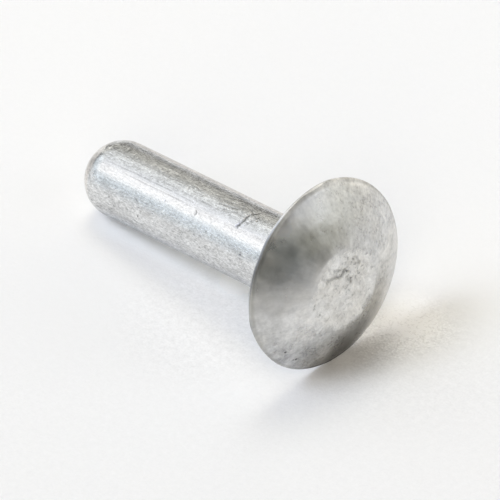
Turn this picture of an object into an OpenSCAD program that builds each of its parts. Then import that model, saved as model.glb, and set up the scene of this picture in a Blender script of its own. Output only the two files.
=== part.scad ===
// Brazier head rivet: one solid, upset cold from aluminium wire. It lies on its side, touching the
// surface with the lowest point of its head's rim and the lowest point of its rounded shank end.
// The head is slightly off centre, and the rivet has rolled to where the shank is lowest.

/* [Shank] */
// Diameter of the shank
shank_d = 4.76; // [3.2:0.02:6.4]
// Length of the shank from the underside of the head to its end
shank_l = 19.05; // [12.7:0.05:32]
// Radius of the rounding that sweeps the shank in towards its end
end_round = 2.3; // [2:0.02:3]
// Length of the shank that the rounding takes up
end_taper = 1.75; // [0.6:0.05:1.9]
// Radius of the fillet between the shank and the underside of the head
neck_fillet = 0.3; // [0.1:0.05:0.8]

/* [Head] */
// Diameter of the head over its rim
head_d = 11.9; // [9.6:0.1:16]
// Radius of the head's shallow dome
dome_r = 9.6; // [8.2:0.05:14]
// Radius of the full round on the edge of the rim
rim_round = 0.15; // [0.08:0.01:0.3]
// Diameter of the flat on the crown of the dome
crown_flat_d = 5.2; // [1:0.1:7]
// Distance of the shank's axis from the middle of the head, towards the surface the rivet lies on
shank_offset = 0.34; // [0:0.02:0.6]

/* [Hidden] */
$fn = 96;

shank_r = shank_d / 2;
head_r = head_d / 2;

// In a section each point is [distance from the axis, height above the underside of the head], so
// the shank runs down from height 0 and the head stands above it.

// Middle of the end rounding, which is tangent to the shank's wall
end_middle = [shank_r - end_round, end_taper - shank_l];
end_flat_r = end_middle[0] + sqrt(pow(end_round, 2) - pow(end_taper, 2));

// Middle of the rim's round, which touches the underside of the head and its full diameter
rim_middle = [head_r - rim_round, rim_round];
// Middle of the dome's sphere, placed so that the dome runs into the rim's round without a step
dome_middle = [0, rim_round - sqrt(pow(dome_r - rim_round, 2) - pow(rim_middle[0], 2))];
// Edge of the flat on the crown, where it cuts the dome off
crown_flat_r = crown_flat_d / 2;
head_h = dome_middle[1] + sqrt(pow(dome_r, 2) - pow(crown_flat_r, 2));

// Tilt of the axis out of level at which the rim and the end rounding touch one flat surface
contact_run = rim_middle - end_middle - [shank_offset, 0];
tilt = acos((end_round - rim_round) / norm(contact_run)) - atan2(contact_run[1], contact_run[0]);
// Height of the axis above the surface, at the underside of the head
axis_h = rim_middle[0] * cos(tilt) - rim_middle[1] * sin(tilt) + rim_round;
// Reach of the crown and of the shank's end along the surface, from the same point
crown_reach = crown_flat_r * sin(tilt) + head_h * cos(tilt);
end_reach = (end_flat_r - shank_offset) * sin(tilt) + shank_l * cos(tilt);

// Point well outside the dome, on the line from its middle through the middle of the rim's round
beyond_rim = dome_middle + 1.5 * dome_r * (rim_middle - dome_middle) / norm(rim_middle - dome_middle);

// Half section of the dome, from the flat crown out to the rim's round
module dome_section() {
    intersection() {
        translate(dome_middle) circle(dome_r);
        square([head_r, head_h]);
        polygon([[0, 0], [rim_middle[0], 0], rim_middle, beyond_rim, [0, 3 * dome_r]]);
    }
}

// Half section of the rim's round, from the underside of the head up to the dome
module rim_section() {
    intersection() {
        translate(rim_middle) circle(rim_round);
        polygon([rim_middle, [rim_middle[0], -head_h], [2 * head_r, -head_h], beyond_rim]);
    }
}

// Half section of the shank's rounded end, cut off by its small end flat
module end_section() {
    intersection() {
        translate(end_middle) circle(end_round);
        translate([0, -shank_l]) square([shank_r, end_taper]);
    }
    translate([0, -shank_l]) square([end_flat_r, end_taper]);
}

// Half section of the fillet in the corner between the shank and the head
module fillet_section() {
    difference() {
        translate([shank_r, -neck_fillet]) square(neck_fillet);
        translate([shank_r + neck_fillet, -neck_fillet]) circle(neck_fillet);
    }
}

// Half section of the straight shank, which runs up into the head
module wall_section() {
    translate([0, end_taper - shank_l]) square([shank_r, shank_l - end_taper + head_h / 2]);
}

module rivet() {
    color([0.68, 0.69, 0.68])
        translate([(end_reach - crown_reach) / 2, 0, axis_h]) rotate([0, 90 - tilt, 0]) {
            rotate_extrude() {
                dome_section();
                rim_section();
            }
            translate([shank_offset, 0, 0]) rotate_extrude() {
                wall_section();
                end_section();
                fillet_section();
            }
        }
}

rivet();
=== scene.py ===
import bpy, math
import numpy as np
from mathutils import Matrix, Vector, noise


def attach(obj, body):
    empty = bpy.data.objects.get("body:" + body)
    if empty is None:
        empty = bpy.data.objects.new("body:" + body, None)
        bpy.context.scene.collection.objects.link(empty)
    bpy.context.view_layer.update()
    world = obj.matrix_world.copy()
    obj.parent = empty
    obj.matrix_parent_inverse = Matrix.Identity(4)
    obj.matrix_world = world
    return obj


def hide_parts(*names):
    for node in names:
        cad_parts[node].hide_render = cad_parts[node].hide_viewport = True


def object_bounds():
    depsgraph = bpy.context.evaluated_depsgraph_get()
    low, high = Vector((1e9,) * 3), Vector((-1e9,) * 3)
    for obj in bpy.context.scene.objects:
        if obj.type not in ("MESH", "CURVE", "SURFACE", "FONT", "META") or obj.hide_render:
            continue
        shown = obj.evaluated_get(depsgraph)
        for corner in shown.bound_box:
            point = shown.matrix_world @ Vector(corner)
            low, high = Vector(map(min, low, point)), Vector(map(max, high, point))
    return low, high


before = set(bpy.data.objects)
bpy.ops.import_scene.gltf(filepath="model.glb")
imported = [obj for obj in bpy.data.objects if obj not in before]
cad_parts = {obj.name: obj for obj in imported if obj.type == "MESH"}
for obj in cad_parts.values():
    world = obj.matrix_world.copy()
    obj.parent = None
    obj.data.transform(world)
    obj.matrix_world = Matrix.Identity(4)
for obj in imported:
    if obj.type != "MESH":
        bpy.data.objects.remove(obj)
cad_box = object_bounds()

MM = 0.001

# Sizes in millimetres, as in the CAD.
SHANK_R = 2.38
SHANK_L = 19.05
END_ROUND = 2.3
END_TAPER = 1.75
NECK_FILLET = 0.3
HEAD_R = 5.95
RIM_ROUND = 0.15
DOME_R = 9.6
CROWN_R = 2.6
SHANK_OFFSET = 0.34
# How far the crown is pressed over, as (down, side). The CAD's crown is centred on the head.
CROWN_OFFSET = np.array([0.28, -0.06])

# Worked out from the sizes as in the CAD, as (distance from the axis, height above the bearing face).
RIM_MIDDLE = np.array([HEAD_R - RIM_ROUND, RIM_ROUND])
END_MIDDLE = np.array([SHANK_R - END_ROUND, END_TAPER - SHANK_L])
END_FLAT_R = END_MIDDLE[0] + math.sqrt(END_ROUND ** 2 - END_TAPER ** 2)
DOME_MIDDLE = RIM_ROUND - math.sqrt((DOME_R - RIM_ROUND) ** 2 - RIM_MIDDLE[0] ** 2)
CROWN_DEPTH = math.sqrt(DOME_R ** 2 - CROWN_R ** 2)
CROWN_H = DOME_MIDDLE + CROWN_DEPTH

# The tilt at which the rim and the shank's end touch the floor, and the rivet's own directions.
CONTACT_RUN = RIM_MIDDLE - END_MIDDLE - (SHANK_OFFSET, 0.0)
TILT = (math.acos((END_ROUND - RIM_ROUND) / math.hypot(*CONTACT_RUN))
        - math.atan2(CONTACT_RUN[1], CONTACT_RUN[0]))
AXIS = np.array([math.cos(TILT), 0.0, math.sin(TILT)])
DOWN = np.array([math.sin(TILT), 0.0, -math.cos(TILT)])
SIDE = np.array([0.0, 1.0, 0.0])

# The middle of the bearing face under the head, in the row frame.
END_REACH = (END_FLAT_R - SHANK_OFFSET) * AXIS[2] + SHANK_L * AXIS[0]
CROWN_REACH = CROWN_R * AXIS[2] + CROWN_H * AXIS[0]
AXIS_H = RIM_MIDDLE[0] * AXIS[0] - RIM_MIDDLE[1] * AXIS[2] + RIM_ROUND
BEARING = np.array([(END_REACH - CROWN_REACH) / 2, 0.0, AXIS_H])

# How far the mesh lies inside the CAD's surface, so that its relief has room, and inside the CAD's box.
SUNK = 0.008
BOX_CLEARANCE = 0.0001

SIDES = 300
# The turn of the side with most marks, where the mesh is finest.
MARKED_SIDE = -120.0


# ---------------------------------------------------------------- section

def arc(middle, radius, start, stop, count):
    turn = np.radians(np.linspace(start, stop, count))
    return [(middle[0] + radius * math.cos(a), middle[1] + radius * math.sin(a)) for a in turn]


def section():
    """The outline from the middle of the shank's end to the middle of the crown, as (radius, height)."""
    end_turn = math.degrees(math.asin(-END_TAPER / END_ROUND))
    rim_turn = math.degrees(math.atan2(RIM_MIDDLE[1] - DOME_MIDDLE, RIM_MIDDLE[0]))
    crown_turn = math.degrees(math.acos(CROWN_R / DOME_R))
    line = [(0.0, -SHANK_L), (END_FLAT_R, -SHANK_L)]
    line += arc(END_MIDDLE, END_ROUND, end_turn, 0, 60)
    line += [(SHANK_R, -NECK_FILLET)]
    line += arc((SHANK_R + NECK_FILLET, -NECK_FILLET), NECK_FILLET, 180, 90, 16)
    line += [(RIM_MIDDLE[0], 0.0)]
    line += arc(RIM_MIDDLE, RIM_ROUND, -90, rim_turn, 24)
    line += arc((0.0, DOME_MIDDLE), DOME_R, rim_turn, crown_turn, 120)
    line += [(0.0, CROWN_H)]
    return np.array(line)


def spaced(line):
    """Points along the outline, close together where the surface needs detail."""
    steps = np.hypot(*np.diff(line, axis=0).T)
    along = np.concatenate([[0.0], np.cumsum(steps)])
    fine_step = 0.01
    fine = np.arange(0.0, along[-1], fine_step)
    radius, height = np.interp(fine, along, line[:, 0]), np.interp(fine, along, line[:, 1])
    rim_from, crown_to = 5.78, CROWN_R + 0.25
    # The shank: its rounded end, the straight wall, and the places of its scratches.
    spacing = np.where(height < -SHANK_L + 1.8, 0.075, 0.125)
    spacing = np.where(np.abs(height + 5.35) < 0.5, 0.05, spacing)
    spacing = np.where(np.abs(height + 9.0) < 0.25, 0.05, spacing)
    # The neck and the bearing face.
    spacing = np.where((height > -0.45) & (radius < 3.0), 0.09, spacing)
    spacing = np.where((height > -0.01) & (height < 0.01) & (radius > 3.0), 0.2, spacing)
    # The rim, the crown and the dome between them.
    spacing = np.where((height > 0.01) & (radius > rim_from), 0.035, spacing)
    spacing = np.where((height > 0.2) & (radius < crown_to), 0.062, spacing)
    spacing = np.where((height > 0.2) & (radius > crown_to) & (radius < rim_from), 0.075, spacing)
    count = np.concatenate([[0.0], np.cumsum(fine_step / spacing[:-1])])
    rings = np.interp(np.arange(0.5, count[-1], 1.0), count, fine)
    return np.interp(rings, fine, radius), np.interp(rings, fine, height)


def smoothstep(low, high, x):
    t = np.clip((x - low) / (high - low), 0.0, 1.0)
    return t * t * (3 - 2 * t)


def bell(x, middle, width):
    return np.exp(-((x - middle) / width) ** 2)


# ---------------------------------------------------------------- surface

def turn_gap(turn, middle):
    """Difference of two turns in degrees, from -180 to 180."""
    return (turn - middle + 180.0) % 360.0 - 180.0


def rim_out_of_round(turn):
    """How far the hammered rim stands outside a true circle, by the turn from the lowest point."""
    out = 0.095 * bell(turn_gap(turn, 166), 0, 20) - 0.035 * bell(turn_gap(turn, 108), 0, 32)
    out += 0.03 * bell(turn_gap(turn, 28), 0, 22) - 0.075 * bell(turn_gap(turn, 230), 0, 7)
    out += 0.06 * bell(turn_gap(turn, 273), 0, 7) - 0.045 * bell(turn_gap(turn, 298), 0, 12)
    return out


def noise_at(points, scale, seed):
    shift = Vector((seed * 17.3, seed * 5.1, seed * 9.7))
    return np.array([noise.noise(Vector(p) * scale + shift) for p in points])


def rivet_points():
    radius, height = spaced(section())
    rings = len(radius)
    even = np.linspace(0, 360, SIDES, endpoint=False)
    turn = even - math.degrees(0.3) * np.sin(np.radians(even - MARKED_SIDE))
    angle = np.radians(turn)
    # Each ring's middle: on the shank's axis, then over to the head's, then to the crown's flat.
    on_top = np.arange(rings) > np.argmax(radius)
    to_head = smoothstep(SHANK_R + NECK_FILLET, HEAD_R - 0.3, radius) * (height > -0.01)
    middle_u = np.where(on_top, 0.0, SHANK_OFFSET * (1 - to_head))
    middle_v = np.zeros(rings)
    to_crown = np.where(on_top, 1 - smoothstep(CROWN_R, HEAD_R - 0.3, radius), 0.0)
    middle_u = middle_u + CROWN_OFFSET[0] * to_crown
    middle_v = middle_v + CROWN_OFFSET[1] * to_crown
    u = middle_u[:, None] + radius[:, None] * np.cos(angle)[None, :]
    v = middle_v[:, None] + radius[:, None] * np.sin(angle)[None, :]
    w = np.repeat(height[:, None], SIDES, axis=1)
    # The top of the head: a sphere, cut off by the crown's flat with a soft edge.
    top = on_top[:, None] & (np.hypot(u, v) < HEAD_R - RIM_ROUND)
    rho2 = np.minimum(u ** 2 + v ** 2, DOME_R ** 2)
    sphere = DOME_MIDDLE + np.sqrt(DOME_R ** 2 - rho2)
    slope = CROWN_OFFSET / CROWN_DEPTH
    flat = CROWN_H - slope[0] * (u - CROWN_OFFSET[0]) - slope[1] * (v - CROWN_OFFSET[1])
    soft = 0.012
    cut = -soft * np.logaddexp(-sphere / soft, -flat / soft)
    w = np.where(top, cut, w)
    # The rim is a little out of round.
    share = smoothstep(3.2, HEAD_R, np.hypot(u, v)) * (w > -0.005)
    grow = 1 + share * rim_out_of_round(turn)[None, :] / HEAD_R
    u, v = u * grow, v * grow
    return u, v, w


# The places of the marks were picked by eye in the photo, and a helper script worked out where they lie
# on the rivet.
# Some were moved after that.

# Furrows in the crown's torn face: their line as (down, side), half-width, depth and darkness.
CROWN_FURROWS = [
    ([(-1.27, -0.66), (-1.16, -0.42), (-1.06, -0.17)], 0.085, 0.035, 0.55),
    ([(-0.75, 0.36), (-0.90, 0.13), (-0.84, -0.03), (-0.66, -0.12), (-0.75, -0.45)], 0.10, 0.045, 0.62),
    ([(-0.75, -0.45), (-0.85, -0.84), (-0.88, -1.08), (-0.85, -1.34)], 0.10, 0.035, 0.48),
    ([(-1.25, -1.62), (-1.08, -1.43), (-0.90, -1.30)], 0.10, 0.020, 0.30),
    ([(-1.66, -1.04), (-1.43, -0.98), (-1.25, -0.97)], 0.09, 0.020, 0.33),
    ([(-1.33, 0.91), (-1.38, 1.04), (-1.05, 1.25), (-0.80, 1.33)], 0.07, 0.020, 0.30),
    ([(-0.42, 0.16), (-0.20, 0.30), (0.05, 0.47)], 0.08, 0.020, 0.35),
    ([(0.16, -2.40), (0.44, -2.54)], 0.06, 0.015, 0.60),
]

# Pits in the crown: middle as (down, side), radius, depth and darkness.
CROWN_PITS = [
    (0.06, 0.47, 0.10, 0.040, 0.60), (0.62, 0.33, 0.09, 0.025, 0.45), (-0.05, -0.70, 0.09, 0.025, 0.45),
    (-0.81, 1.33, 0.10, 0.035, 0.50), (-1.33, 0.91, 0.08, 0.030, 0.45), (-1.57, 0.47, 0.09, 0.030, 0.45),
    (-1.40, 0.29, 0.08, 0.025, 0.40), (-0.07, 0.92, 0.09, 0.030, 0.45), (-0.58, 0.56, 0.06, 0.025, 0.40),
    (0.09, -0.16, 0.06, 0.015, 0.30), (0.75, 0.02, 0.07, 0.015, 0.30), (-0.95, 1.00, 0.06, 0.030, 0.45),
    (-0.15, 1.18, 0.06, 0.020, 0.35), (-0.25, 1.61, 0.06, 0.020, 0.35), (-0.62, 0.98, 0.06, 0.025, 0.40),
]

# Small dark pits elsewhere: on the dome as (down, side, radius), on the shank as (turn, height, radius).
DOME_SPOTS = [(2.98, -4.20, 0.075), (3.91, -3.47, 0.085), (3.90, -3.62, 0.05), (1.02, -2.13, 0.04)]
SHANK_SPOTS = [(-95.4, -13.47, 0.065), (-114.0, -4.62, 0.065), (-75.3, -17.21, 0.07), (-73.6, -17.05, 0.05),
               (-78.0, -16.60, 0.045), (-136.5, -11.56, 0.04), (-172.4, -18.03, 0.10), (-168.0, -17.92, 0.06),
               (-176.5, -17.86, 0.10), (-179.6, -18.14, 0.07), (-175.9, -4.86, 0.08), (-169.7, -4.71, 0.06),
               (-111.0, -12.20, 0.035), (-88.0, -11.00, 0.04), (-101.0, -9.60, 0.035)]

# Bright flecks beside marks on the shank: (turn, height, radius).
SHANK_FLECKS = [(-172.0, -17.72, 0.14), (-169.4, -17.60, 0.06)]

# Marks on the shank: their line as (turn from the lowest line, height), half-width, depth and darkness.
SHANK_FURROWS = [
    ([(-149.5, -5.65), (-156.3, -5.55), (-161.4, -5.50), (-167.3, -5.54), (-171.6, -5.53)],
     0.090, 0.018, 1.0),
    ([(-174.6, -5.45), (-176.6, -5.36), (-182.2, -5.18)], 0.075, 0.014, 1.0),
    ([(-182.2, -5.18), (-190.0, -5.09)], 0.05, 0.010, 0.5),
    ([(-158.5, -18.40), (-149.8, -18.17), (-141.4, -18.05), (-133.6, -17.95)], 0.055, 0.004, 0.38),
    ([(-133.6, -17.95), (-125.9, -17.91), (-116.6, -17.89)], 0.045, 0.003, 0.22),
    ([(-187.1, -6.97), (-185.3, -6.32), (-182.1, -5.74), (-179.1, -5.47)], 0.05, 0.012, 0.5),
    ([(-194.1, -6.71), (-192.0, -6.04), (-188.4, -5.59)], 0.05, 0.012, 0.5),
    ([(-162.3, -7.57), (-168.9, -7.48), (-170.8, -7.20)], 0.04, 0.008, 0.4),
    ([(-142.4, -9.03), (-141.0, -8.92), (-139.3, -8.90), (-136.6, -8.97)], 0.055, 0.008, 0.75),
    ([(-152.0, -16.8), (-153.3, -11.4)], 0.035, 0.006, 0.42),
    ([(-152.6, -11.2), (-152.0, -9.6)], 0.03, 0.005, 0.35),
    ([(-171.0, -16.2), (-171.8, -12.6)], 0.04, 0.006, 0.35),
    ([(-189.5, -16.3), (-184.0, -6.8)], 0.04, 0.006, 0.35),
    ([(-160.0, -12.2), (-159.0, -7.4)], 0.04, 0.005, 0.3),
    ([(-145.8, -15.0), (-146.4, -10.2)], 0.03, 0.004, 0.3),
    ([(-168.0, -8.0), (-173.0, -6.6), (-178.0, -6.3), (-184.0, -5.6)], 0.05, 0.014, 0.6),
    ([(-176.0, -7.6), (-184.0, -6.6), (-190.0, -6.4)], 0.05, 0.014, 0.6),
    ([(-163.0, -7.4), (-167.0, -6.5), (-166.0, -5.9)], 0.045, 0.010, 0.5),
    ([(-186.0, -7.9), (-193.0, -6.7)], 0.05, 0.014, 0.6),
]


def line_distance(x, y, path):
    """Distance of every point from a line drawn through the points of path."""
    near = np.full(x.shape, np.inf)
    for (ax, ay), (bx, by) in zip(path, path[1:]):
        dx, dy = bx - ax, by - ay
        share = np.clip(((x - ax) * dx + (y - ay) * dy) / (dx * dx + dy * dy), 0.0, 1.0)
        near = np.minimum(near, np.hypot(x - ax - share * dx, y - ay - share * dy))
    return near


def carve(x, y, furrows, pits):
    """Depth and darkness of furrows and pits, with ragged edges."""
    ragged = noise_at(np.stack([x.ravel(), y.ravel(), 0 * x.ravel()], axis=1), 9.0, 8).reshape(x.shape)
    relief, dark = np.zeros(x.shape), np.zeros(x.shape)
    for path, width, depth, darkness in furrows:
        away = line_distance(x, y, path) / width + 0.9 * ragged
        relief += depth * (0.4 * bell(away, 2.0, 0.8) - bell(away, 0.0, 1.0))
        dark = np.maximum(dark, darkness * bell(away, 0.0, 0.95))
    for middle_x, middle_y, radius, depth, darkness in pits:
        away = np.hypot(x - middle_x, y - middle_y) / radius + 0.9 * ragged
        relief += depth * (0.25 * bell(away, 1.7, 0.6) - bell(away, 0.0, 1.0))
        dark = np.maximum(dark, darkness * bell(away, 0.0, 1.0))
    return relief, dark


def head_relief(u, v):
    """The crown's torn face and the marks on the head."""
    points = np.stack([u.ravel(), v.ravel(), np.zeros(u.size)], axis=1)
    tear = noise_at(points, 1.7, 3) + 0.6 * noise_at(points, 3.6, 4) + 0.4 * noise_at(points, 7.5, 5)
    crown = 1 - smoothstep(CROWN_R - 0.45, CROWN_R + 0.1, np.hypot(u - CROWN_OFFSET[0], v - CROWN_OFFSET[1]))
    upper = smoothstep(1.4, -0.8, u)
    relief, dark = carve(u, v, CROWN_FURROWS, CROWN_PITS)
    relief += 0.020 * tear.reshape(u.shape) * crown * (0.6 + 0.4 * upper)
    # The nick in the rim.
    relief -= 0.06 * bell(np.hypot(u - 5.38, v - 2.51), 0.0, 0.11)
    return relief, dark


def shank_relief(turn, height):
    """Marks on the shank, drawn on its unrolled surface."""
    scale = math.radians(1) * SHANK_R
    unrolled = [([(a * scale, h) for a, h in path], *rest) for path, *rest in SHANK_FURROWS]
    relief, dark = carve(turn * scale, height, unrolled, [])
    again, dark_again = carve((turn - 360.0) * scale, height, unrolled, [])
    return relief + again, np.maximum(dark, dark_again)


def surface_relief(u, v, w):
    """Height in millimetres of the forging's waves and marks, and how dark the marks are."""
    points = np.stack([u.ravel(), v.ravel(), w.ravel()], axis=1)
    along = points * np.array([1.0, 1.0, 0.3])
    waves = (0.009 * noise_at(points, 0.9, 1) + 0.003 * noise_at(points, 2.2, 2)).reshape(u.shape)
    ripple = (0.006 * noise_at(along, 1.5, 6) + 0.003 * noise_at(along, 4.0, 7)).reshape(u.shape)
    on_head = smoothstep(-0.05, 0.1, w)
    turn = np.degrees(np.arctan2(v, u - SHANK_OFFSET))
    on_top, top_dark = head_relief(u, v)
    below, below_dark = shank_relief(turn, w)
    free = 1 - smoothstep(-0.6, -0.3, w)
    relief = on_head * (waves + on_top) + (1 - on_head) * (ripple + below * free)
    return relief, on_head * top_dark + (1 - on_head) * below_dark * free


def rivet_mesh():
    u, v, w = rivet_points()
    rings = u.shape[0]
    xyz = BEARING + u[..., None] * DOWN + v[..., None] * SIDE + w[..., None] * AXIS
    first = BEARING + SHANK_OFFSET * DOWN - SHANK_L * AXIS
    # The crown's middle height, where its tilted flat crosses the axis.
    last = BEARING + (CROWN_H + CROWN_OFFSET @ CROWN_OFFSET / CROWN_DEPTH) * AXIS
    # Normals from the grid itself, to push the relief along.
    along = np.gradient(xyz, axis=0)
    around = np.roll(xyz, -1, axis=1) - np.roll(xyz, 1, axis=1)
    normal = np.cross(around, along)
    normal /= np.maximum(np.linalg.norm(normal, axis=2, keepdims=True), 1e-12)
    centre = xyz.mean(axis=1, keepdims=True)
    if np.sum(normal[rings // 3] * (xyz[rings // 3] - centre[rings // 3])) < 0:
        normal = -normal
    relief, dark = surface_relief(u, v, w)
    xyz = xyz + normal * (relief - SUNK)[..., None]
    # Nothing stands outside the CAD model's box.
    low, high = np.array(cad_box[0]) / MM, np.array(cad_box[1]) / MM
    xyz = np.clip(xyz, low + BOX_CLEARANCE, high - BOX_CLEARANCE)

    verts = [tuple(p) for p in (xyz.reshape(-1, 3) * MM)]
    verts += [tuple(first * MM), tuple(last * MM)]
    faces = []
    for r in range(rings - 1):
        a, b = r * SIDES, (r + 1) * SIDES
        for s in range(SIDES):
            t = (s + 1) % SIDES
            faces.append((a + s, b + s, b + t, a + t))
    end, crown = rings * SIDES, rings * SIDES + 1
    for s in range(SIDES):
        t = (s + 1) % SIDES
        faces.append((end, s, t))
        faces.append((crown, (rings - 1) * SIDES + t, (rings - 1) * SIDES + s))
    mesh = bpy.data.meshes.new("rivet_body")
    mesh.from_pydata(verts, [], faces)
    mesh.update()
    for polygon in mesh.polygons:
        polygon.use_smooth = True
    # How much darker each point is in the furrows and pits, for the material.
    mark_darkness = mesh.attributes.new("mark_darkness", "FLOAT", "POINT")
    mark_darkness.data.foreach_set("value", np.concatenate([dark.ravel(), [0.0, 0.0]]))
    return mesh


# ---------------------------------------------------------------- materials

class Tree:
    """A material's node tree, with one short call for each kind of node."""

    def __init__(self, owner):
        owner.use_nodes = True
        self.tree = owner.node_tree
        self.tree.nodes.clear()

    def add(self, kind, **settings):
        node = self.tree.nodes.new(kind)
        for key, value in settings.items():
            setattr(node, key, value)
        return node

    def set(self, socket, value):
        if isinstance(value, bpy.types.NodeSocket):
            self.tree.links.new(value, socket)
        else:
            socket.default_value = value

    def math(self, operation, a, b=0.0, clamp=False):
        node = self.add("ShaderNodeMath", operation=operation, use_clamp=clamp)
        self.set(node.inputs[0], a)
        self.set(node.inputs[1], b)
        return node.outputs[0]

    def dot(self, vector, constant):
        node = self.add("ShaderNodeVectorMath", operation="DOT_PRODUCT")
        self.set(node.inputs[0], vector)
        node.inputs[1].default_value = tuple(float(c) for c in constant)
        return node.outputs["Value"]

    def vector(self, x, y, z):
        node = self.add("ShaderNodeCombineXYZ")
        for socket, value in zip(node.inputs, (x, y, z)):
            self.set(socket, value)
        return node.outputs[0]

    def noise(self, vector, scale, detail=2.0, roughness=0.5, distortion=0.0):
        node = self.add("ShaderNodeTexNoise")
        self.set(node.inputs["Vector"], vector)
        node.inputs["Scale"].default_value = scale
        node.inputs["Detail"].default_value = detail
        node.inputs["Roughness"].default_value = roughness
        node.inputs["Distortion"].default_value = distortion
        return node.outputs["Fac"]

    def ramp(self, value, low, high, start=0.0, stop=1.0, smooth=True):
        node = self.add("ShaderNodeMapRange", interpolation_type="SMOOTHSTEP" if smooth else "LINEAR")
        self.set(node.inputs["Value"], value)
        node.inputs["From Min"].default_value = low
        node.inputs["From Max"].default_value = high
        node.inputs["To Min"].default_value = start
        node.inputs["To Max"].default_value = stop
        return node.outputs["Result"]

    def mix(self, share, a, b, **settings):
        node = self.add("ShaderNodeMix", data_type="RGBA", **settings)
        self.set(node.inputs[0], share)
        self.set(node.inputs[6], a)
        self.set(node.inputs[7], b)
        return node.outputs[2]

    def near(self, place, middle, inner, outer):
        """1 within inner of a point, falling to 0 at outer."""
        node = self.add("ShaderNodeVectorMath", operation="DISTANCE")
        self.set(node.inputs[0], place)
        node.inputs[1].default_value = middle
        return self.ramp(node.outputs["Value"], outer, inner)

    def blend(self, share, a, b):
        """A number between a and b."""
        node = self.add("ShaderNodeMix", data_type="FLOAT")
        self.set(node.inputs[0], share)
        self.set(node.inputs[2], a)
        self.set(node.inputs[3], b)
        return node.outputs[0]

    def sum(self, start, *terms):
        """start plus every (value - 0.5) times its weight."""
        total = start
        for value, weight in terms:
            part = self.math("MULTIPLY", self.math("SUBTRACT", value, 0.5), weight)
            total = self.math("ADD", total, part)
        return total

    def scaled(self, colour, amount):
        """A colour times a number."""
        node = self.add("ShaderNodeVectorMath", operation="SCALE")
        self.set(node.inputs[0], colour)
        self.set(node.inputs["Scale"], amount)
        return node.outputs[0]

    def bump(self, shader, height, distance):
        """Bump on a shader, where height 1 stands for distance in metres."""
        node = self.add("ShaderNodeBump")
        node.inputs["Distance"].default_value = distance
        self.set(node.inputs["Height"], height)
        self.set(shader.inputs["Normal"], node.outputs[0])


# How far in metres a height of 1 stands out in the bump of the metal and of the sheet.
METAL_BUMP = 0.00003
SHEET_BUMP = 0.00002


class Place:
    """Where a point lies on the rivet, in millimetres from the middle of the bearing face."""

    def __init__(self, t):
        where = t.add("ShaderNodeTexCoord").outputs["Object"]
        self.u = t.math("ADD", t.dot(where, DOWN / MM), -float(BEARING @ DOWN))
        self.v = t.math("ADD", t.dot(where, SIDE / MM), -float(BEARING @ SIDE))
        self.w = t.math("ADD", t.dot(where, AXIS / MM), -float(BEARING @ AXIS))
        self.local = t.vector(self.u, self.v, self.w)
        self.flat = t.vector(self.u, self.v, 0.0)
        radius = t.add("ShaderNodeVectorMath", operation="LENGTH")
        t.set(radius.inputs[0], self.flat)
        self.radius = radius.outputs["Value"]
        self.on_head = t.ramp(self.w, -0.04, 0.06)
        round_shank = t.math("ARCTAN2", self.v, t.math("SUBTRACT", self.u, SHANK_OFFSET))
        self.turn = t.math("MULTIPLY", round_shank, math.degrees(1))
        from_crown = t.add("ShaderNodeVectorMath", operation="DISTANCE")
        t.set(from_crown.inputs[0], self.flat)
        from_crown.inputs[1].default_value = (CROWN_OFFSET[0], CROWN_OFFSET[1], 0.0)
        ragged = t.sum(from_crown.outputs["Value"], (t.noise(self.local, 1.6, 3.0, 0.6), 1.6))
        inside, high_up = t.ramp(ragged, CROWN_R - 0.02, CROWN_R - 0.30), t.ramp(self.w, 1.0, 1.2)
        self.on_crown = t.math("MULTIPLY", inside, high_up)
        # Painted shade on the edge of the dome above the shank, which the material also tints blue as a
        # painted reflection.
        painted_brim = t.math("MULTIPLY", t.ramp(self.w, 0.44, 0.27), t.ramp(self.w, 0.10, 0.17))
        self.painted_brim = t.math("MULTIPLY", painted_brim, t.near(self.flat, (-4.1, -4.4, 0.0), 1.4, 3.0))

    def beside(self, t, turn):
        """How many degrees round the shank a point lies from a turn, away from the seam at 180."""
        return t.math("ABSOLUTE", t.math("SUBTRACT", self.turn, turn))

    def drawn(self, t, stretch):
        """Coordinates drawn out along the shank."""
        return t.vector(self.u, self.v, t.math("MULTIPLY", self.w, stretch))


def hairs(t, place, lean, seed):
    """Short hair-like scratches, leaning from the shank's axis by lean degrees."""
    cos, sin = math.cos(math.radians(lean)), math.sin(math.radians(lean))
    along = t.sum(0.0, (t.math("MULTIPLY", place.w, cos), 1.0), (t.math("MULTIPLY", place.u, sin), 1.0))
    across = t.sum(0.0, (t.math("MULTIPLY", place.u, cos), 1.0), (t.math("MULTIPLY", place.w, -sin), 1.0))
    stretched, squeezed = t.math("MULTIPLY", along, 1.1), t.math("MULTIPLY", across, 9.0)
    grid = t.vector(stretched, squeezed, t.math("ADD", place.v, seed))
    return t.ramp(t.noise(grid, 1.0, 1.0, 0.5, 0.3), 0.66, 0.74)


# Painted highlights and painted shade at the rounded end: (turn, height, radius, how much brighter).
END_PAINTED_LIGHT = [
    (-128.0, -17.60, 0.40, 0.22), (-155.0, -17.95, 0.45, 0.26), (-145.0, -17.10, 0.55, -0.06),
    (-178.0, -17.0, 0.9, -0.10), (-173.5, -17.75, 0.40, -0.22), (-184.0, -17.5, 0.5, -0.12),
    (-148.0, -18.45, 0.45, -0.24), (-131.0, -18.30, 0.40, -0.16), (-181.0, -18.15, 0.40, -0.22),
]


def round_spot(t, place, turn, height, radius):
    """1 in the middle of a small spot on the shank, 0 outside it."""
    a = math.radians(turn)
    end = max(0.0, END_TAPER - SHANK_L - height)
    reach = SHANK_R - END_ROUND + math.sqrt(END_ROUND ** 2 - end ** 2)
    middle = (SHANK_OFFSET + reach * math.cos(a), reach * math.sin(a), height)
    return t.near(place.local, middle, radius * 0.4, radius * 1.3)


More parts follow.
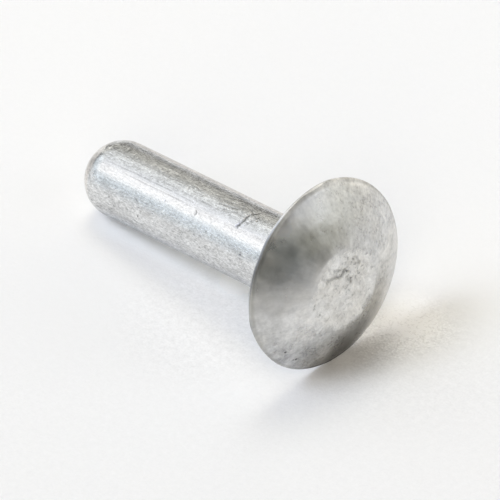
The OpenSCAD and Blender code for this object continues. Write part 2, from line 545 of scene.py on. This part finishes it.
def spots(t, place):
    """The small pits, 1 in their middles."""
    total = 0.0
    for down, side, radius in DOME_SPOTS:
        spot = t.near(place.flat, (down, side, 0.0), radius * 0.4, radius * 1.3)
        total = t.math("MAXIMUM", total, t.math("MULTIPLY", spot, place.on_head))
    for spot in SHANK_SPOTS:
        total = t.math("MAXIMUM", total, round_spot(t, place, *spot))
    return total


def shank_look(t, place):
    """Tone, roughness and bump of the drawn wire: lines along it, specks, hair scratches, painted highlights
    and painted shade.
    """
    lines = t.noise(place.drawn(t, 0.05), 7.0, 3.0, 0.6)
    fine_lines = t.noise(place.drawn(t, 0.10), 13.0, 2.0, 0.5)
    specks = t.noise(place.drawn(t, 0.45), 9.0, 3.0, 0.75)
    pores = t.ramp(t.noise(place.drawn(t, 0.5), 8.0, 2.0, 0.6), 0.42, 0.33)
    sparks = t.ramp(t.noise(place.drawn(t, 0.4), 10.0, 2.0, 0.6), 0.60, 0.68)
    mottle = t.noise(place.drawn(t, 0.6), 1.5, 3.0, 0.6)
    hair = t.math("MAXIMUM", hairs(t, place, 28.0, 3.0), hairs(t, place, -35.0, 8.0))
    # Where the highlight falls along the side the wire is smoother and has a painted highlight; painted shade
    # lies beside its lower edge.
    highlight_calm = t.ramp(place.beside(t, -142), 9, 20, 0.40, 1.0)
    painted_stripe_shade = t.ramp(place.beside(t, -119), 12, 4)
    highlight_calm = t.math("SUBTRACT", highlight_calm, t.math("MULTIPLY", painted_stripe_shade, 0.18))
    painted_stripe_highlight = t.ramp(place.beside(t, -151), 6, 2)
    # Along its top it is rougher, and a painted sheen makes it a little brighter next to that.
    top = t.ramp(place.u, -0.5, -1.2)
    off_rough, off_bright = t.math("SUBTRACT", place.v, 0.38), t.math("ADD", place.v, 0.28)
    rough_top = t.math("MULTIPLY", t.ramp(t.math("ABSOLUTE", off_rough), 0.85, 0.55), top)
    painted_top_sheen = t.math("MULTIPLY", t.ramp(t.math("ABSOLUTE", off_bright), 0.60, 0.25), top)
    tone = t.sum(0.0, (specks, 1.15), (lines, 0.25), (fine_lines, 0.35), (mottle, 0.42))
    tone = t.math("SUBTRACT", tone, t.math("MULTIPLY", pores, 0.20))
    tone = t.math("ADD", tone, t.math("MULTIPLY", sparks, 0.17))
    tone = t.math("SUBTRACT", tone, t.math("MULTIPLY", hair, 0.15))
    # Painted shade makes it duller along its lowest side and its far side.
    painted_underside_shade = t.math("MAXIMUM", t.ramp(t.math("ABSOLUTE", place.turn), 98, 66), t.ramp(place.v, 0.95, 1.25))
    base = t.math("SUBTRACT", 0.69, t.math("MULTIPLY", painted_underside_shade, 0.115))
    # Painted shade beside the highlight's lower edge, and a painted highlight on it.
    base = t.math("SUBTRACT", base, t.math("MULTIPLY", painted_stripe_shade, 0.05))
    base = t.math("ADD", base, t.math("MULTIPLY", painted_stripe_highlight, 0.08))
    base = t.math("SUBTRACT", base, t.math("MULTIPLY", t.ramp(place.beside(t, -141), 8, 3), 0.03))
    # Painted sheen along the top.
    base = t.math("ADD", base, t.math("MULTIPLY", painted_top_sheen, 0.075))
    # A painted dark line of shade runs along its lower side.
    painted_low_shade_line = t.math("MULTIPLY", t.ramp(place.beside(t, -58), 9, 4), t.ramp(place.w, -2.5, -6.0))
    base = t.math("SUBTRACT", base, t.math("MULTIPLY", painted_low_shade_line, 0.20))
    # Painted highlights and painted shade where the strip meets the rounded end, and flecks beside the pits.
    for turn, height, reach, gain in END_PAINTED_LIGHT:
        base = t.math("ADD", base, t.math("MULTIPLY", round_spot(t, place, turn, height, reach), gain))
    for fleck in SHANK_FLECKS:
        base = t.math("ADD", base, t.math("MULTIPLY", round_spot(t, place, *fleck), 0.30))
    highlight_calm_tone = t.math("MULTIPLY", highlight_calm, t.math("ADD", 1.0, t.math("MULTIPLY", rough_top, 0.25)))
    tone = t.math("ADD", t.math("MULTIPLY", tone, highlight_calm_tone), base)
    rough = t.sum(0.20, (specks, -0.2), (mottle, 0.12))
    bump = t.sum(0.0, (lines, 0.3), (fine_lines, 0.15), (specks, 0.5))
    bump = t.math("SUBTRACT", bump, t.math("MULTIPLY", hair, 0.08))
    return tone, rough, t.math("MULTIPLY", bump, highlight_calm)


def head_look(t, place):
    """Tone, roughness and bump of the forged head: blotches, faint spokes, grain, painted shade, painted
    highlights and painted reflections.
    """
    blotches = t.noise(place.local, 0.9, 2.0, 0.6)
    grain = t.noise(place.local, 5.0, 1.0, 0.6)
    calm = t.near(place.flat, (-3.3, -3.9, 0.0), 1.5, 6.5)
    angle = t.math("ARCTAN2", place.v, place.u)
    fan = t.vector(t.math("MULTIPLY", angle, 5.0), t.math("MULTIPLY", place.radius, 0.35), 0.0)
    spokes = t.noise(fan, 2.2, 2.0, 0.6)
    soft_grain = t.noise(place.local, 4.0, 1.0, 0.5)
    marked = t.sum(0.0, (blotches, 0.45), (spokes, 0.28), (grain, t.blend(calm, 0.40, 0.13)))
    tone = t.math("ADD", 0.57, t.math("MULTIPLY", marked, t.blend(calm, 1.0, 0.62)))
    # Painted shade and painted reflections, in patches on the dome.
    for (down, side), inner, outer, dark in PAINTED_HEAD_SHADING:
        painted_head_patch = t.near(place.flat, (down, side, 0.0), inner, outer)
        tone = t.math("MULTIPLY", tone, t.math("SUBTRACT", 1.0, t.math("MULTIPLY", painted_head_patch, dark)))
    # Painted shade on the dome's edge above the shank.
    tone = t.math("MULTIPLY", tone, t.math("SUBTRACT", 1.0, t.math("MULTIPLY", place.painted_brim, 0.56)))
    rim = t.ramp(place.radius, 5.70, 5.85)
    # Painted highlight: the dome near the rim on its upper side is made lighter.
    upper = t.near(place.flat, (-5.7, 1.7, 0.0), 1.2, 3.4)
    near_rim = t.math("MULTIPLY", t.ramp(place.w, 0.54, 0.34), t.ramp(place.w, 0.08, 0.15))
    upper = t.math("MULTIPLY", upper, near_rim)
    tone = t.math("MULTIPLY", tone, t.math("ADD", 1.0, t.math("MULTIPLY", upper, 0.32)))
    # Painted shade on the rim's lower side; all round, the rim is a little darker.
    painted_lower_shade = t.math("MULTIPLY", t.near(place.flat, (6.0, -0.4, 0.0), 1.0, 3.2), 0.45)
    darker_rim = t.math("MULTIPLY", rim, t.math("ADD", 0.12, painted_lower_shade))
    tone = t.math("MULTIPLY", tone, t.math("SUBTRACT", 1.0, darker_rim))
    rough = t.sum(0.31, (blotches, 0.2), (grain, t.blend(calm, 0.2, 0.0)))
    rough = t.math("ADD", rough, t.math("MULTIPLY", rim, 0.25))
    bump = t.sum(0.0, (soft_grain, t.blend(calm, 0.4, 0.15)), (spokes, 0.2), (blotches, 0.9))
    return tone, rough, t.math("MULTIPLY", bump, t.blend(calm, 1.0, 0.55))


def crown_look(t, place):
    """Tone, roughness and bump of the crown's torn face."""
    tear = t.noise(place.local, 3.2, 5.0, 0.75, 0.8)
    patches = t.noise(place.local, 1.2, 3.0, 0.6)
    pores = t.ramp(t.noise(place.local, 5.0, 2.0, 0.6, 0.4), 0.40, 0.32)
    # The upper part of the face is the most torn.
    torn = t.near(place.flat, (-0.55, 0.55, 0.0), 0.5, 1.9)
    tone = t.sum(0.775, (tear, 0.9), (patches, 0.45))
    tone = t.math("SUBTRACT", tone, t.math("MULTIPLY", torn, 0.05))
    pore_depth = t.math("ADD", 0.12, t.math("MULTIPLY", torn, 0.22))
    tone = t.math("SUBTRACT", tone, t.math("MULTIPLY", pores, pore_depth))
    rough = t.sum(0.36, (tear, 0.3))
    bump = t.sum(0.0, (tear, 1.8), (patches, 0.8))
    return tone, rough, bump


# Painted shade and painted reflections on the head: duller and brighter patches, set to match the photo's
# shading: middle as (down, side), inner and outer radius, how much darker.
PAINTED_HEAD_SHADING = [
    ((-2.9, -3.9), 0.4, 1.7, 0.19),
    ((-3.55, -2.95), 0.05, 0.6, 0.22),
    ((-1.7, -4.8), 0.3, 2.2, 0.22),
    ((-1.6, -2.85), 0.15, 0.95, 0.20),
    ((-2.15, -2.0), 0.15, 0.8, 0.12),
    ((-2.5, -1.15), 0.15, 0.8, 0.14),
    ((-2.75, -0.5), 0.15, 0.9, -0.05),
    ((-4.0, 0.8), 0.5, 1.9, 0.08),
    ((-4.9, -2.7), 0.2, 1.2, -0.70),
    ((-4.3, -3.2), 0.2, 1.3, -0.22),
    ((-5.4, -1.8), 0.2, 1.1, -0.20),
    ((-5.2, 0.6), 0.5, 2.0, -0.16),
    ((-0.8, 4.9), 1.0, 3.2, -0.08),
    ((1.2, -3.0), 0.5, 2.1, -0.22),
    ((4.0, -2.8), 0.3, 1.7, 0.08),
    ((4.4, -1.4), 0.2, 1.2, -0.18),
    ((4.9, 0.4), 0.9, 2.3, 0.48),
    ((5.6, 0.0), 0.3, 1.7, 0.66),
    ((5.4, -1.8), 0.1, 0.9, 0.30),
    ((3.6, 2.1), 0.4, 1.9, 0.34),
    ((4.3, 3.6), 0.2, 1.6, 0.10),
    ((-4.5, 2.8), 0.3, 1.5, 0.09),
    ((2.4, 2.9), 0.3, 1.5, 0.12),
]


def aluminium():
    material = bpy.data.materials.new("aluminium")
    t = Tree(material)
    output = t.add("ShaderNodeOutputMaterial")
    metal = t.add("ShaderNodeBsdfPrincipled")
    t.set(output.inputs["Surface"], metal.outputs[0])
    metal.inputs["Metallic"].default_value = 1.0
    place = Place(t)
    shank, head, crown = shank_look(t, place), head_look(t, place), crown_look(t, place)
    tone, rough, height = (
        t.blend(place.on_head, on_shank, t.blend(place.on_crown, on_dome, on_crown))
        for on_shank, on_dome, on_crown in zip(shank, head, crown))
    mark_darkness = t.add("ShaderNodeAttribute", attribute_name="mark_darkness").outputs["Fac"]
    dark = t.math("MAXIMUM", spots(t, place), mark_darkness)
    tone = t.math("MULTIPLY", tone, t.math("SUBTRACT", 1.0, t.math("MULTIPLY", dark, 0.8)))
    height = t.math("SUBTRACT", height, t.math("MULTIPLY", dark, 0.25))
    warmth = t.noise(place.local, 0.6, 2.0, 0.5)
    tint = t.mix(t.ramp(warmth, 0.35, 0.65), (1.0, 0.988, 0.958, 1), (0.997, 0.996, 0.985, 1))
    # A bluish painted reflection on the dome's edge above the shank.
    tint = t.mix(place.painted_brim, tint, (0.970, 1.0, 1.020, 1))
    # A painted warm fringe on one side of the rim, not a colour of the metal.
    rim, warm_side = t.ramp(place.radius, 5.72, 5.88), t.near(place.flat, (2.6, 5.0, 0.0), 1.2, 4.0)
    warm_rim = t.math("MULTIPLY", rim, warm_side)
    tint = t.mix(warm_rim, tint, (1.03, 0.955, 0.875, 1))
    # Painted reflections tint the shank: bluish below the highlight stripe, warm along its top and at its
    # end.
    cool_reflection = t.mix(t.ramp(place.beside(t, -121), 16, 6), (0.990, 1.0, 1.004, 1), (0.975, 1.0, 1.022, 1))
    wire = t.mix(t.ramp(place.beside(t, 138), 19, 12), cool_reflection, (1.02, 0.960, 0.90, 1))
    wire = t.mix(t.ramp(place.w, -17.95, -18.25), wire, (1.0, 0.965, 0.93, 1))
    tint = t.mix(place.on_head, wire, tint)
    t.set(metal.inputs["Base Color"], t.scaled(tint, tone))
    t.set(metal.inputs["Roughness"], rough)
    t.bump(metal, height, METAL_BUMP)
    return material


# Painted light and painted shadow on the sheet, brighter and duller places set to match the photo: middle,
# inner and outer radius in millimetres, how much brighter.
SHEET_PAINTED_LIGHT = [
    ((10.0, 5.3), 1.0, 3.2, 0.11),
    ((11.0, 1.4), 0.3, 2.2, -0.09),
    ((0.8, 0.3), 0.3, 1.5, 0.15),
    ((9.8, -1.1), 0.3, 1.4, -0.13),
    ((9.7, 1.3), 0.2, 1.0, -0.08),
]


def paper():
    """A pale sheet, a little darker towards the front."""
    material = bpy.data.materials.new("pale_paper")
    t = Tree(material)
    output = t.add("ShaderNodeOutputMaterial")
    sheet = t.add("ShaderNodeBsdfPrincipled")
    t.set(output.inputs["Surface"], sheet.outputs[0])
    place = t.add("ShaderNodeTexCoord").outputs["Object"]
    fibres = t.noise(place, 4200.0, 3.0, 0.65)
    along = t.dot(place, (1.0, 0.0, 0.0))
    front = t.dot(place, towards(-43.85, 0))
    behind, middle, before = (0.907, 0.907, 0.905, 1), (0.899, 0.899, 0.898, 1), (0.851, 0.851, 0.852, 1)
    colour = t.mix(t.ramp(front, -0.030, 0.0, smooth=False), behind, middle)
    colour = t.mix(t.ramp(front, 0.0, 0.030, smooth=False), colour, before)
    coarse = t.noise(place, 2600.0, 2.0, 0.7)
    fine = t.noise(place, 7000.0, 2.0, 0.6)
    # The grain shows most where the sheet lies in shade, and more in front than behind.
    off_band = t.math("ABSOLUTE", t.math("SUBTRACT", t.dot(place, (0.95, -0.32, 0.0)), 0.00880))
    off_middle = t.math("ABSOLUTE", t.math("SUBTRACT", t.dot(place, (0.32, 0.95, 0.0)), 0.0073))
    by_head = t.math("MULTIPLY", t.ramp(off_band, 0.0030, 0.0006), t.ramp(off_middle, 0.0046, 0.0010))
    # Bright specks in the shade beside the head.
    specks = t.math("MULTIPLY", t.ramp(fine, 0.50, 0.74), by_head)
    by_shank = t.near(place, (0.0020, -0.0036, 0.0), 0.002, 0.007)
    past_head = t.near(place, (0.0125, 0.0030, 0.0), 0.003, 0.008)
    more = t.math("ADD", t.math("MULTIPLY", by_head, 17.0), t.math("MULTIPLY", by_shank, 8.5))
    more = t.math("ADD", more, t.math("MULTIPLY", past_head, 4.0))
    more = t.math("ADD", more, t.math("MULTIPLY", t.ramp(front, 0.003, 0.011), 2.0))
    grain = t.sum(0.0, (fine, 0.022), (coarse, 0.024))
    grain = t.math("ADD", 1.0, t.math("MULTIPLY", grain, t.math("ADD", 1.0, more)))
    grain = t.math("ADD", grain, t.math("MULTIPLY", specks, 0.16))
    # Painted light and painted shadow on the sheet.
    for (x, y), inner, outer, gain in SHEET_PAINTED_LIGHT:
        painted_sheet_patch = t.near(place, (x * MM, y * MM, 0.0), inner * MM, outer * MM)
        grain = t.math("ADD", grain, t.math("MULTIPLY", painted_sheet_patch, gain))
    # Beside the shank, from its end to the head, painted light makes the sheet a little lighter and bluer in
    # the shank's shadow.
    beyond = t.math("SUBTRACT", t.dot(place, (-0.165, 1.0, 0.0)), -0.00007)
    painted_light_strip = t.ramp(t.math("ABSOLUTE", beyond), 0.0015, 0.0004)
    painted_light_strip = t.math("MULTIPLY", painted_light_strip, t.ramp(along, -0.0098, -0.0075))
    painted_light_strip = t.math("MULTIPLY", painted_light_strip, t.ramp(along, 0.0050, 0.0025))
    colour = t.mix(painted_light_strip, colour, (0.886, 0.901, 0.911, 1))
    grain = t.math("ADD", grain, t.math("MULTIPLY", painted_light_strip, 0.07))
    t.set(sheet.inputs["Base Color"], t.scaled(colour, grain))
    sheet.inputs["Roughness"].default_value = 0.9
    sheet.inputs["Specular IOR Level"].default_value = 0.1
    t.bump(sheet, fibres, SHEET_BUMP)
    return material


# ---------------------------------------------------------------- studio

def towards(azimuth, elevation):
    a, e = math.radians(azimuth), math.radians(elevation)
    return Vector((math.cos(e) * math.cos(a), math.cos(e) * math.sin(a), math.sin(e)))


def lamp(name, azimuth, elevation, spread, level, colour):
    """A distant soft lamp. level is what it adds to a white surface that lies level."""
    data = bpy.data.lights.new(name, "SUN")
    data.angle = math.radians(spread)
    data.energy = level * math.pi / math.sin(math.radians(elevation))
    data.color = colour
    lamp_object = bpy.data.objects.new(name, data)
    lamp_object.rotation_euler = towards(azimuth, elevation).to_track_quat("Z", "Y").to_euler()
    bpy.context.scene.collection.objects.link(lamp_object)


# What the room shows above the floor's edge: direction, inner and outer half-angle, glow. The glows here
# and the lamps' levels and colours come from a fit to the photo, and some were changed after it.
ROOM = [
    ((55, 10), 8, 30, (0.94, 0.945, 0.90)),
    ((90, 10), 8, 26, (1.84, 1.70, 1.46)),
    ((25, 18), 6, 22, (0.40, 0.39, 0.31)),
    ((175, 38), 8, 24, (0.98, 1.00, 1.00)),
    ((-148, 30), 5, 17, (1.46, 1.44, 1.43)),
    ((-128, 12), 6, 22, (1.03, 1.09, 1.11)),
    ((152, 12), 6, 20, (1.05, 1.03, 0.95)),
    ((-12, 15), 8, 28, (0.19, 0.21, 0.21)),
    ((-60, 14), 8, 28, (1.91, 1.85, 1.54)),
    ((-165, 14), 6, 20, (0.88, 0.95, 1.00)),
    ((-115, 22), 5, 15, (1.03, 1.22, 1.95)),
    ((120, 30), 8, 22, (1.24, 1.19, 1.09)),
]


def room():
    world = bpy.data.worlds.new("room")
    bpy.context.scene.world = world
    t = Tree(world)
    output = t.add("ShaderNodeOutputWorld")
    background = t.add("ShaderNodeBackground")
    t.set(output.inputs["Surface"], background.outputs[0])
    direction = t.add("ShaderNodeTexCoord").outputs["Generated"]
    colour = (0.0, 0.0, 0.0, 1.0)
    for (azimuth, elevation), inner, outer, glow in ROOM:
        near = t.dot(direction, towards(azimuth, elevation))
        share = t.ramp(near, math.cos(math.radians(outer)), math.cos(math.radians(inner)))
        colour = t.mix(share, colour, (*glow, 1.0), blend_type="ADD")
    t.set(background.inputs["Color"], colour)


def floor():
    mesh = bpy.data.meshes.new("floor")
    half = 3.0
    corners = [(-half, -half, 0), (half, -half, 0), (half, half, 0), (-half, half, 0)]
    mesh.from_pydata(corners, [], [(0, 1, 2, 3)])
    sheet = bpy.data.objects.new("floor", mesh)
    sheet.data.materials.append(paper())
    bpy.context.scene.collection.objects.link(sheet)


# Where the camera stands, from a fit to the outlines in the photo: the direction it looks from as
# (azimuth, elevation), the point it looks at in millimetres, and its distance in metres.
CAMERA_FROM = (-43.8497, 41.5509)
CAMERA_AIM = (4.79431, -2.46608, 6.89748)
CAMERA_DISTANCE = 0.5850998


def camera():
    data = bpy.data.cameras.new("camera")
    data.lens, data.sensor_width = 720.0, 36.0
    data.clip_start, data.clip_end = 0.01, 10.0
    view = bpy.data.objects.new("camera", data)
    away = towards(*CAMERA_FROM)
    view.location = Vector(CAMERA_AIM) * MM + away * CAMERA_DISTANCE
    view.rotation_euler = away.to_track_quat("Z", "Y").to_euler()
    bpy.context.scene.collection.objects.link(view)
    bpy.context.scene.camera = view


camera()
floor()
room()
lamp("window", -115, 52, 26, 0.220, (0.89, 0.99, 1.12))
lamp("window_side", -128, 51, 22, 0.079, (0.83, 0.90, 1.27))
lamp("window_top", -135, 60, 22, 0.065, (1.03, 1.04, 0.93))
lamp("overhead", 148, 61, 26, 0.063, (1.16, 0.99, 0.85))
lamp("overhead_side", 128, 62, 22, 0.087, (0.93, 1.00, 1.07))
lamp("overhead_high", 156, 70, 22, 0.052, (1.27, 1.14, 0.59))
lamp("back", -160, 50, 22, 0.018, (0.92, 0.94, 1.13))
lamp("front", -46, 46, 30, 0.106, (1.19, 1.00, 0.81))
lamp("fill", 30, 35, 30, 0.038, (0.96, 0.99, 1.05))

rivet = bpy.data.objects.new("rivet_body", rivet_mesh())
bpy.context.scene.collection.objects.link(rivet)
rivet.data.materials.append(aluminium())
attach(rivet, "root")
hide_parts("rivet")

bpy.context.scene.view_settings.view_transform = "Standard"
